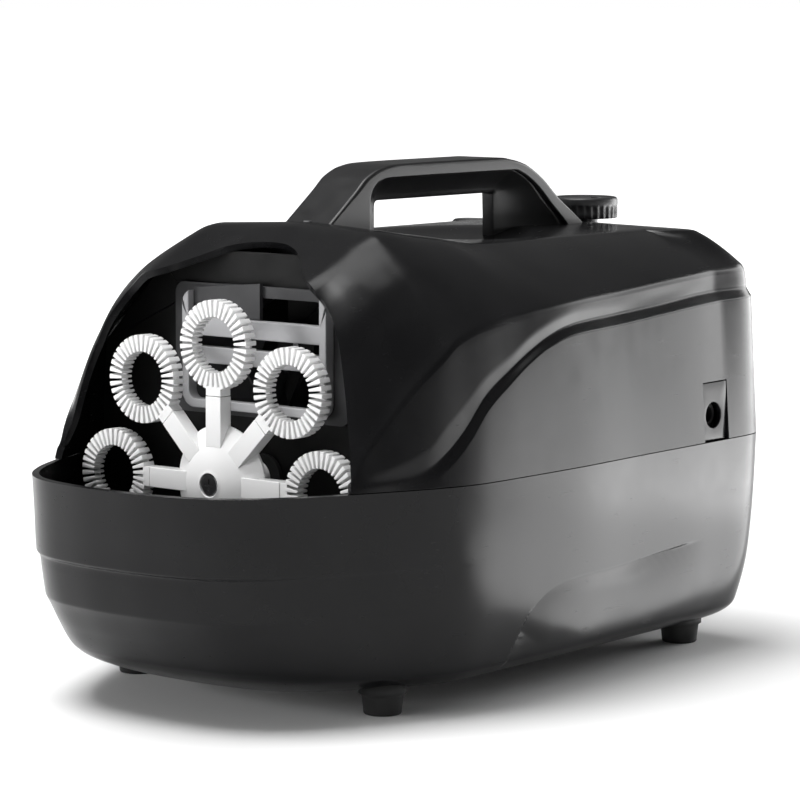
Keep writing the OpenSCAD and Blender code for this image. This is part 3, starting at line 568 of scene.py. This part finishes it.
def scooped(rows):
    """Lowers the roof into the round finger scoop under the handle."""
    centre, reach, radius, floor_z, soft = np.array([0, 38.0]), 50, 120.0, 141, 0.5
    d = np.linalg.norm(rows[..., :2] - centre, axis=-1)
    ball = floor_z + radius - np.sqrt(np.maximum(radius**2 - d**2, 1))
    z = rows[..., 2]
    h = np.maximum(soft * 2 - np.abs(z - ball), 0) / (soft * 2)
    low = np.minimum(z, ball) - h * h * soft / 2
    out = rows.copy()
    out[..., 2] = np.where((d < reach) & (z > 138), low, z)
    return out


def facing(bm, up):
    """Turns an open skin's faces outward, which is upward or downward on the whole."""
    bmesh.ops.recalc_face_normals(bm, faces=bm.faces)
    rise = sum(f.normal.z * f.calc_area() for f in bm.faces)
    if (rise > 0) != up:
        bmesh.ops.reverse_faces(bm, faces=bm.faces)


def walled(ob):
    """Gives a skin the wall of the casing, inward."""
    solid = ob.modifiers.new("wall", "SOLIDIFY")
    solid.thickness = WALL * MM
    solid.offset = -1
    solid.use_even_offset = False


bm = bmesh.new()
add_grid(bm, scooped(upper_rows()))
mirrored(bm)
facing(bm, True)
upper = piece("upper_shell_skin", bm, shell_black, replaces=["upper_shell"])
walled(upper)
port_low, port_high = (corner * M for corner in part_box("port_plate"))
PORT_GAP = 0.3
SLOT_HALF, SLOT_H, SLOT_STEP = 25, 2.4, 5
tools = [
    cut(upper, "port_cut", [((70, port_low.y - PORT_GAP, SEAM - 2),
                             (90, port_high.y + PORT_GAP, port_high.z + PORT_GAP))]),
    cut(upper, "slots", [((-SLOT_HALF, 126, z), (SLOT_HALF, 140, z + SLOT_H))
                         for z in range(86, 118, SLOT_STEP)]),
]
bake(upper, tools)
bevelled(upper, 0.35, 2, 40)

# Lower shell: rows of heights against columns round the outline. The line on its side
# wall is given in Y and Z.
relief = flowing([(-23.6, 10.5), (-20.6, 17.5), (-16.7, 25.4), (-12.2, 30.6), (-6.8, 34.2), (1.3, 36.6),
                  (30, 38.1), (60, 39.6), (88, 41)], 300)
relief_s = np.concatenate([[0], np.cumsum(np.linalg.norm(np.diff(relief, axis=0), axis=1))])
RELIEF_DEEP, RELIEF_STEP, RELIEF_FADE = 2.5, 0.7, 10
# How far the wall draws in from the seam at the nose, the sides and the rear, against height
NOSE = [(8.4, 37.6), (9, 35), (10, 31.5), (11.2, 28.3), (12.6, 24.8), (14.2, 21.4), (15.8, 18.8),
        (17.7, 16.4), (25.2, 11.2), (32.2, 6.9), (33.6, 5.9), (34.6, 5.2), (36, 4.9), (44.5, 3.6),
        (47.9, 3.1), (48.4, 2.8), (49.2, 1.6), (49.8, 1.3), (62, 0.9), (75, 0)]
SIDE = [(8.4, 16.5), (9, 14), (10, 11.3), (11.2, 9.1), (12.4, 7.5), (13.4, 6.5), (14.4, 5.95),
        (15.8, 5.5), (33.8, 2.1), (60, 0.4), (75, 0)]
TAIL = [(8.4, 13.6), (9, 11.5), (10, 9.4), (11.2, 7.8), (12.6, 6.6), (14.2, 5.7), (15.8, 5.1),
        (33.8, 2), (75, 0)]


def lower_rows():
    s = np.concatenate([
        np.linspace(0, float(s_at(-60)), 64), np.linspace(float(s_at(-60)), float(s_at(-28)), 20)[1:],
        np.linspace(float(s_at(-28)), float(s_at(92)), 130)[1:],
        np.linspace(float(s_at(92)), float(outline_s[-1]), 60)[1:]])
    xy, _ = on_plan(s)
    heights = np.concatenate([
        np.linspace(SEAM - GAP, 51, 14),
        [50.4, 50.0, 49.7, 49.4, 49.1, 48.8, 48.5, 48.2, 47.9, 47.5],
        np.linspace(46.8, 37, 14), np.linspace(36.4, 33, 10), np.linspace(32.4, 18, 28),
        np.linspace(17.5, 8.4, 32)])
    # The mesh row at this height is bent to follow the long line on the side wall
    row_z = 36.4
    line = relief[relief[:, 0] > -12.2]
    crease = np.interp(xy[:, 1], [-45, *line[:, 0], 125], [row_z, *line[:, 1], row_z])
    rows = []
    for height in heights:
        share = np.interp(height, [18, row_z, 46.8], [0, 1, 0])
        z = height + (crease - row_z) * share
        nose, side_in, tail_in = (graded(table, z) for table in (NOSE, SIDE, TAIL))
        kx = (HALF_W - side_in) / HALF_W
        kf = (NOSE_Y + nose - WAIST_Y) / (NOSE_Y - WAIST_Y)
        kr = (TAIL_Y - tail_in - WAIST_Y) / (TAIL_Y - WAIST_Y)
        y = WAIST_Y + (xy[:, 1] - WAIST_Y) * np.where(xy[:, 1] < WAIST_Y, kf, kr)
        rows.append(np.column_stack([xy[:, 0] * kx, y, z]))
    rows = np.array(rows)
    # Recess below the line on the side wall: a crisp step that runs out again
    yz = rows[..., 1:]
    gap = yz[..., None, :] - relief[None, None]
    d = np.linalg.norm(gap, axis=-1)
    near = d.argmin(-1)
    d = d.min(-1)
    tangent = np.gradient(relief, axis=0)[near]
    g = np.take_along_axis(gap, near[..., None, None].repeat(2, -1), 2)[:, :, 0]
    below = tangent[..., 0] * g[..., 1] - tangent[..., 1] * g[..., 0] < 0
    along = relief_s[near] / relief_s[-1]
    fade = np.clip((1 - along) / 0.35, 0, 1)
    strength = np.clip(along / 0.12, 0, 1) * fade * fade * (3 - 2 * fade)
    edge = np.clip(d / RELIEF_STEP, 0, 1)
    runs_out = np.exp(-((np.maximum(d - RELIEF_STEP, 0) / RELIEF_FADE) ** 1.4))
    depth = RELIEF_DEEP * strength * edge * edge * (3 - 2 * edge) * runs_out
    depth = np.where(below & (rows[..., 0] > 20) & (near > 0) & (near < len(relief) - 1), depth, 0)
    rows[..., 0] -= depth
    return rows


bm = bmesh.new()
rows = lower_rows()
add_grid(bm, rows)
# Bottom: rings that draw in to the middle line
last = rows[-1]
for k0, k1 in ((1.0, 0.985), (0.985, 0.5), (0.5, 0.0)):
    ring0 = last * (k0, 1, 1)
    ring1 = last * (k1, 1, 1)
    add_grid(bm, [ring0, ring1])
bmesh.ops.remove_doubles(bm, verts=bm.verts, dist=0.002)
mirrored(bm)
facing(bm, False)
lower = piece("lower_shell_skin", bm, shell_black, replaces=["lower_shell"])
walled(lower)
DOOR_HALF, TAB_HALF, DOOR_TOP = 40.4, 7.4, 13.2
tools = [cut(lower, "door_cut", [((-DOOR_HALF, 1.6, 0), (DOOR_HALF, 106.4, DOOR_TOP))]),
         cut(lower, "tab_cut", [((-TAB_HALF, 106, 0), (TAB_HALF, 114.2, DOOR_TOP))])]
bake(lower, tools)
bevelled(lower, 0.3, 2, 40)

# ---- handle --------------------------------------------------------------------
# Side outlines in Y and Z, each from its front foot to its rear foot
OUTER = [(-41, 138), (-40, 147.2), (-32.4, 152.9), (-20, 162.2), (-13.5, 167.2), (-6.5, 169.8), (2, 170.8),
         (24, 171), (56, 171), (64, 170.1), (71, 168.4), (80.6, 163.4), (90.5, 155.8), (106, 144.8),
         (110, 138)]
INNER = [(-12.5, 138), (-12.5, 146), (-12.5, 152), (-12.5, 158.5), (-11.2, 162.6), (-7.5, 165.3),
         (-1.8, 166.2), (24, 166.2), (56, 166.2), (64.6, 166.2), (69, 165), (77, 160.6), (86, 153.1),
         (95.5, 145), (99, 138)]
WEB_OUT = [(-14, 138), (-14, 148), (-14, 157), (-13, 161.5), (-9, 165), (-3, 167), (24, 167.5), (56, 167.5),
           (65, 167), (75, 163), (85, 155.4), (96.5, 146), (100, 138)]
WINDOW = [(-2, 138), (-2, 148), (-2, 154), (-2, 156.6), (-1.3, 158.1), (0.6, 158.5), (24, 158.5), (56, 158.5),
          (61.3, 158.5), (62, 157.8), (62, 153), (62, 146), (62, 138)]


def paired(points, count):
    """Smooth curve that passes its control points at even steps of its own index."""
    p = np.asarray(points, float)
    i = np.arange(len(p))
    return graded(np.column_stack([i, p]), np.linspace(0, len(p) - 1, count))


def add_band(bm, outer, inner, half, r_out, r_in, count=150):
    """Bar that follows two curves in Y and Z, with rounded edges."""
    o, i = paired(outer, count), paired(inner, count)
    loops = []
    for a, b in zip(o, i):
        w = np.linalg.norm(b - a)
        d = (b - a) / w
        loop = []
        for r, end, sign in ((r_out, a, 1), (r_in, b, -1)):
            for k in range(6):
                t = k / 5 * math.pi / 2
                loop.append((half - r + r * math.sin(t), end + d * sign * r * (1 - math.cos(t))))
            if sign == 1:
                half_loop = loop
                loop = []
        right = half_loop + loop[::-1]
        left = [(-x, p) for x, p in right[::-1]]
        loops.append([(x, p[0], p[1]) for x, p in right + left])
    add_grid(bm, loops, closed_columns=True)


def add_web(bm, outer, inner, deep, thin, count=150):
    """Dished filling inside the grip: deep at its outer curve and thin at the window's edge."""
    o, i = paired(outer, count), paired(inner, count)
    loops = []
    for a, b in zip(o, i):
        right = []
        for t in np.linspace(0, 1, 9):
            right.append((thin + (deep - thin) * (1 - t) ** 1.6, a + (b - a) * (0.02 + 0.96 * t)))
        right.append((thin - 0.5, b))
        loops.append([(x, p[0], p[1]) for x, p in right] + [(-x, p[0], p[1]) for x, p in right[::-1]])
    add_grid(bm, loops, closed_columns=True)


bm = bmesh.new()
GRIP_HALF, WEB_HALF, WEB_EDGE = 10.2, 9.4, 2.6
add_band(bm, OUTER, INNER, GRIP_HALF, 1.3, 0.9)
add_web(bm, WEB_OUT, WINDOW, WEB_HALF, WEB_EDGE)
bmesh.ops.recalc_face_normals(bm, faces=bm.faces)
handle = piece("handle_skin", bm, handle_black, replaces=["handle"])
handle.modifiers.new("normals", "WEIGHTED_NORMAL")

# ---- wand wheel ----------------------------------------------------------------
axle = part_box("wheel_shaft")
AXLE_Z = (axle[0].z + axle[1].z) / 2 * M
ring_low, ring_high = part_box("wand_ring_1")
FRONT, BACK = ring_low.y * M, ring_high.y * M
CIRCLE, FIN_IN, FIN_OUT, FINS, WANDS = 45.0, 9.0, 14.5, 36, 8
FIN_W_IN, FIN_W_OUT = 0.42, 0.80  # half widths of a fin
ARM_HALF, ARM_END = 3.25, 28.4


def turned(points, angle, centre=(0, 0)):
    """Points in (radial, y, tangent) laid out at an angle round the Y axis."""
    c, s = math.cos(angle), math.sin(angle)
    return [(centre[0] + x * c - z * s, y, centre[1] + x * s + z * c) for x, y, z in points]


def add_turned_box(bm, low, high, angle):
    """Box in (radial, y, tangent), turned about the axle."""
    box = add_box(bm, low, high)
    for vert, p in zip(box, turned([vert.co[:] for vert in box], angle, (0, AXLE_Z))):
        vert.co = p


def add_fin(bm, angle, centre):
    """Fin that widens outward, with small chamfers on its front and back edges."""
    ch = 0.16
    r0, r1, w0, w1, y0, y1 = FIN_IN, FIN_OUT, FIN_W_IN, FIN_W_OUT, FRONT, BACK

    def ring(y, k):
        return [(r0 + k, y, -w0 + k), (r1 - k, y, -w1 + k), (r1 - k, y, w1 - k), (r0 + k, y, w0 - k)]

    levels = [ring(y0, ch), ring(y0 + ch, 0), ring(y1 - ch, 0), ring(y1, ch)]
    vs = [[bm.verts.new(p) for p in turned(level, angle, centre)] for level in levels]
    for a, b in zip(vs, vs[1:]):
        for k in range(4):
            bm.faces.new([a[k], a[(k + 1) % 4], b[(k + 1) % 4], b[k]])
    bm.faces.new(vs[0][::-1])
    bm.faces.new(vs[-1])


for i in range(WANDS):
    name = f"wand_ring_{i + 1}"
    turn = i * 2 * math.pi / WANDS
    cx, cz = CIRCLE * math.cos(turn), AXLE_Z + CIRCLE * math.sin(turn)
    bm = bmesh.new()
    for k in range(FINS):
        add_fin(bm, turn + (k + 0.5) * 2 * math.pi / FINS, (cx, cz))
    add_lathe(bm, [(FIN_IN + 1.6, BACK - 1.2), (FIN_OUT - 1.8, BACK - 1.2), (FIN_OUT - 1.8, BACK - 0.2),
                   (FIN_IN + 1.6, BACK - 0.2), (FIN_IN + 1.6, BACK - 1.2)], (cx, 0, cz), "y")
    add_turned_box(bm, (28.6, FRONT + 0.1, -3.2), (31.6, BACK - 0.1, 3.2), turn)
    bmesh.ops.recalc_face_normals(bm, faces=bm.faces)
    ob = piece(name + "_fins", bm, wand_white, "wand_wheel", [name])
    bevelled(ob, 0.12, 1, 40)

bm = bmesh.new()
dome = [(3.7, FRONT + 1.5), (3.7, FRONT - 2.0), (4.0, FRONT - 2.45)]
DOME_R, RISE = 19.0, 6.4
ball = (DOME_R**2 + RISE**2) / (2 * RISE)
top = BACK - 1 - RISE
for r in np.linspace(4.6, DOME_R - 0.2, 22):
    dome.append((r, top + ball - math.sqrt(ball * ball - r * r)))
dome += [(DOME_R, BACK - 1.1), (DOME_R, BACK - 0.2), (DOME_R - 0.3, BACK), (6, BACK), (6, -58.2), (3, -58)]
add_lathe(bm, dome, (0, 0, AXLE_Z), "y", 96)
for i in range(WANDS):
    add_turned_box(bm, (12, FRONT, -ARM_HALF), (ARM_END, BACK, ARM_HALF), i * 2 * math.pi / WANDS)
bmesh.ops.recalc_face_normals(bm, faces=bm.faces)
spider = piece("wheel_spider_skin", bm, wand_white, "wand_wheel", ["wheel_spider"])
bevelled(spider, 0.35, 2, 40)

# ---- small outside parts --------------------------------------------------------
low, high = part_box("speed_knob")
kx, ky = (low.x + high.x) / 2 * M, (low.y + high.y) / 2 * M
z0, z1, kr = low.z * M, high.z * M, (high.x - low.x) / 2 * M
RIBS, RIB_DEPTH, RIB_TOP = 30, 0.55, 4.6


def ribs(angle, r, h):
    """How far the grooves between the ribs draw the knob's side in."""
    on = 1 if r > kr - 1 and h < RIB_TOP else 0
    return -RIB_DEPTH * on * (0.5 + 0.5 * math.cos(RIBS * angle)) ** 0.6


bm = bmesh.new()
hk = z1 - z0
add_lathe(bm, [(0, 0.4), (kr - 1.2, 0.4), (kr - 0.9, 0), (kr - 0.3, 0), (kr, 0.4), (kr, 2), (kr, 4.0),
               (kr - 0.02, 4.7), (kr, 5.2), (kr, hk - 1.1), (kr - 0.2, hk - 0.5), (kr - 0.6, hk - 0.15),
               (kr - 1.1, hk - 0.02), (kr - 1.6, hk), (kr - 2.4, hk), (kr - 2.7, hk - 0.35), (0, hk - 0.35)],
          (kx, ky, z0), "z", 360, ribs)
# Raised pointer on the top
add_box(bm, (kx + kr - 8.5, ky - 0.7, z1 - 0.6), (kx + kr - 3.0, ky + 0.7, z1 - 0.02))
bmesh.ops.recalc_face_normals(bm, faces=bm.faces)
piece("speed_knob_cap", bm, knob_black, "knob", ["speed_knob"])

for name in ("foot_front_left", "foot_front_right", "foot_rear_left", "foot_rear_right"):
    low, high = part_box(name)
    cx, cy = (low.x + high.x) / 2 * M, (low.y + high.y) / 2 * M
    bm = bmesh.new()
    add_lathe(bm, [(0, 2.2), (1.6, 2.2), (1.7, 0.3), (2.0, 0.02), (5.4, 0.0), (5.85, 0.12), (6.1, 0.5),
                   (6.25, 2), (6.7, 6.0), (7, 6.5), (7.7, 6.9), (7.7, 8.2), (7.4, 11), (0, 11)],
              (cx, cy, 0), "z", 64)
    bmesh.ops.recalc_face_normals(bm, faces=bm.faces)
    piece(name + "_rubber", bm, foot_rubber, "casing", [name])

# Cover plate of the power inlet, with its round hole
HOLE_Z, HOLE_R, PLATE_T, HOLE_STEPS = 83.1, 4.4, 2.4, 72
cy, cz = (port_low.y + port_high.y) / 2, HOLE_Z
hy, hz0, hz1 = (port_high.y - port_low.y) / 2, port_low.z - cz, port_high.z - cz
face = port_high.x


def hole_angles():
    return [2 * math.pi * (k + 0.5) / HOLE_STEPS for k in range(HOLE_STEPS)]


def hole(r):
    return [(r * math.cos(a), r * math.sin(a)) for a in hole_angles()]


def box_loop(r):
    """Points of the plate's outline, drawn in by r, at the angles of the hole's points."""
    loop = []
    for a in hole_angles():
        c, s = math.cos(a), math.sin(a)
        top_z = (hz1 if s > 0 else -hz0) - r
        t = min((hy - r) / max(abs(c), 1e-6), top_z / max(abs(s), 1e-6))
        loop.append((t * c, t * s))
    return loop


bm = bmesh.new()
rings = [(box_loop(0), face - PLATE_T), (box_loop(0), face - 0.3), (box_loop(0.3), face),
         (hole(HOLE_R + 0.35), face), (hole(HOLE_R), face - 0.35), (hole(HOLE_R - 0.05), face - PLATE_T)]
add_grid(bm, [[(x, cy + p[0], cz + p[1]) for p in loop] for loop, x in rings], closed_rows=True,
         closed_columns=True)
bmesh.ops.recalc_face_normals(bm, faces=bm.faces)
plate = piece("port_plate_skin", bm, shell_black, "casing", ["port_plate"])
plate.modifiers.new("normals", "WEIGHTED_NORMAL")

# ---- carried-over CAD nodes ------------------------------------------------------
for row in frame["record"]["subparts"]:
    ob = frame["nodes"][row["node"]]
    ob.data.materials.clear()
    ob.data.materials.append(SLOTS[row["material_slot"]])
for node in ("outlet_grille", "bulkhead", "fan_duct", "battery_door", "gearbox_case", "gearbox_cover"):
    ob = frame["nodes"][node]
    weld = ob.modifiers.new("weld", "WELD")
    weld.merge_threshold = 0.00001
    bevelled(ob, 0.4 if node == "outlet_grille" else 0.25, 2, 40)

# ---- stage -----------------------------------------------------------------------
scene = bpy.context.scene
scene.view_settings.view_transform = "Standard"

world = bpy.data.worlds.new("studio")
world.use_nodes = True
sky = world.node_tree
sky_coords = sky.nodes.new("ShaderNodeTexCoord")
sky_split = sky.nodes.new("ShaderNodeSeparateXYZ")
sky.links.new(sky_coords.outputs["Generated"], sky_split.inputs[0])
sky_ramp = sky.nodes.new("ShaderNodeValToRGB")
stops = sky_ramp.color_ramp.elements
stops[0].position, stops[0].color = 0.0, (1.0, 1.0, 1.0, 1)
stops[1].position, stops[1].color = 0.02, (1.0, 1.0, 1.0, 1)
for at, grey in ((0.07, 0.15), (0.75, 0.15), (1.0, 0.35)):
    stop = stops.new(at)
    stop.color = (grey, grey, grey, 1)
sky.links.new(sky_split.outputs["Z"], sky_ramp.inputs[0])
sky.links.new(sky_ramp.outputs["Color"], sky.nodes["Background"].inputs["Color"])
sky.nodes["Background"].inputs["Strength"].default_value = 1.0
scene.world = world

floor_mat = Nodes("floor")
floor_mat.shader.inputs["Base Color"].default_value = (0.9, 0.9, 0.9, 1)
floor_mat.shader.inputs["Roughness"].default_value = 0.9
floor_mat.shader.inputs["Specular IOR Level"].default_value = 0.1
# Painted light: the floor glows by emission, none within 0.35 m of the middle and full white beyond 1.3 m, so
# the far floor shows as a white background while the floor near the object keeps its shade
glow_distance = floor_mat.add("ShaderNodeVectorMath", operation="LENGTH")
floor_mat.link(floor_mat.coords, glow_distance.inputs[0])
floor_mat.link(floor_mat.mapped(glow_distance.outputs["Value"], 0.0, 1.0, 0.35, 1.3),
               floor_mat.shader.inputs["Emission Strength"])
floor_mat.shader.inputs["Emission Color"].default_value = (1, 1, 1, 1)
bm = bmesh.new()
FLOOR = 60000
bm.faces.new([bm.verts.new((x * FLOOR, y * FLOOR, 0)) for x, y in ((-1, -1), (1, -1), (1, 1), (-1, 1))])
bmesh.ops.scale(bm, vec=(MM,) * 3, verts=bm.verts)
mesh = bpy.data.meshes.new("floor")
bm.to_mesh(mesh)
mesh.materials.append(floor_mat.mat)
floor = bpy.data.objects.new("floor", mesh)
scene.collection.objects.link(floor)


def softbox(name, place_m, aim, size_m, power):
    light = bpy.data.lights.new(name, "AREA")
    light.shape = "RECTANGLE"
    light.size, light.size_y = size_m
    light.energy = power
    ob = bpy.data.objects.new(name, light)
    ob.location = place_m
    ob.rotation_euler = (Vector(aim) - Vector(place_m)).to_track_quat("-Z", "Y").to_euler()
    ob.visible_camera = False
    scene.collection.objects.link(ob)
    return ob


# Radiance of a softbox is its power over pi times its area
softbox("side_box", (0.33, 1.34, 0.34), (0.07, 0.08, 0.12), (0.86, 0.75), 11.5)
softbox("low_box", (0.64, 0.84, 0.003), (0.64, 0.84, 1.0), (1.0, 1.1), 17)
softbox("relief_box", (0.19, 0.3, 0.003), (0.19, 0.3, 1.0), (0.2, 0.5), 1.4)
softbox("top_box", (-0.25, 0.15, 1.5), (0, 0, 0.05), (0.9, 0.9), 7)
softbox("key_box", (-0.35, -0.5, 2.2), (0, 0, 0.05), (1.0, 1.0), 40)
# Two lights too plain to be mirrored: the first puts the shadow on the right, the second reaches the wands
fill = softbox("fill_box", (-1.2, 0.3, 1.7), (0, 0, 0), (0.7, 0.7), 8)
front = softbox("front_box", (-0.9, -1.5, 0.35), (0, 0, 0.1), (0.6, 0.5), 18)
for light in (fill, front):
    light.visible_glossy = False

cam_data = bpy.data.cameras.new("camera")
cam_data.lens = 156.7
cam_data.sensor_width = 36
cam_data.clip_start, cam_data.clip_end = 0.05, 50
cam = bpy.data.objects.new("camera", cam_data)
cam.location = (0.7564, -0.8905, 0.2276)
yaw, pitch = math.radians(39.89), math.radians(6.67)
cam.rotation_euler = (math.pi / 2 - pitch, 0, yaw)
scene.collection.objects.link(cam)
scene.camera = cam
